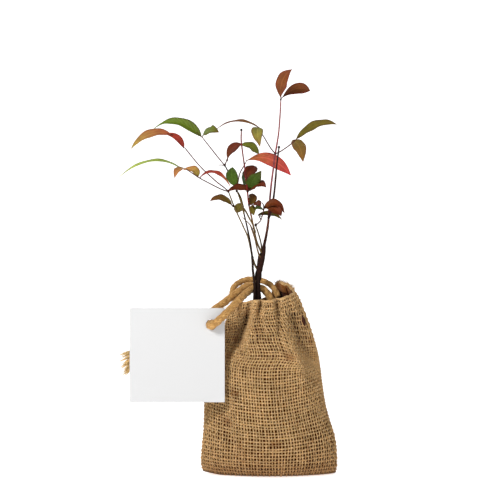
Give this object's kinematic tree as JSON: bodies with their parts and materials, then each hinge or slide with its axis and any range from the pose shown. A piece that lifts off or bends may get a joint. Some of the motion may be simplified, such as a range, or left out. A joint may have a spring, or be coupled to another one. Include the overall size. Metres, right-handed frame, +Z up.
{
  "type": "heavenly bamboo seedling with root ball in a burlap drawstring bag",
  "caption": "Young shrub seedling with slender stalks and red and green leaves, its root ball in a burlap drawstring bag with jute rope and a blank tag.",
  "frame": {"origin": "on the flat underside of the bag, below its mouth", "axes": "+Z up along the stem, -Y towards the front of the bag, +X to its right"},
  "size_m": [0.1632, 0.059, 0.304],
  "materials": {
    "burlap": "coarse plain-woven jute burlap",
    "soil": "dark moist potting mix",
    "bark": "thin dark bark with old leaf sheaths",
    "stalk": "smooth reddish leaf stalks",
    "leaf_red_brown": "satin leaf blade",
    "leaf_olive": "satin leaf blade",
    "leaf_coral": "satin leaf blade",
    "leaf_green": "satin leaf blade",
    "leaf_orange": "satin leaf blade",
    "leaf_yellow_green": "satin leaf blade",
    "leaf_maroon": "satin leaf blade",
    "jute_rope": "three-strand twisted jute",
    "card": "smooth matt card, blank"
  },
  "bodies": {
    "root": {"burlap_bag": "burlap", "root_ball": "soil", "trunk": "bark", "second_stem": "bark", "long_stalk": "stalk", "cut_stalk_right": "stalk", "cut_stalk_left": "stalk", "left_stalk": "stalk", "middle_stalk": "stalk", "front_stalk": "stalk", "back_stalk": "stalk", "leaves_top": "leaf_red_brown", "leaves_right": "leaf_olive", "leaves_upper_left": "leaf_olive", "leaf_red": "leaf_coral", "leaves_tall_left": "leaf_green", "leaves_short_left": "leaf_red_brown", "leaves_long_left": "leaf_orange", "leaves_low_left": "leaf_yellow_green", "leaves_middle_left": "leaf_green", "leaves_middle": "leaf_maroon", "leaf_lower_left": "leaf_olive", "leaf_lower_middle": "leaf_olive", "leaves_lower_centre": "leaf_olive", "leaves_lower_right": "leaf_maroon", "rope_loop": "jute_rope", "rope_tail_short": "jute_rope", "rope_tail_long": "jute_rope", "rope_fray": "jute_rope", "swing_tag": "card"}
  },
  "joints": []
}
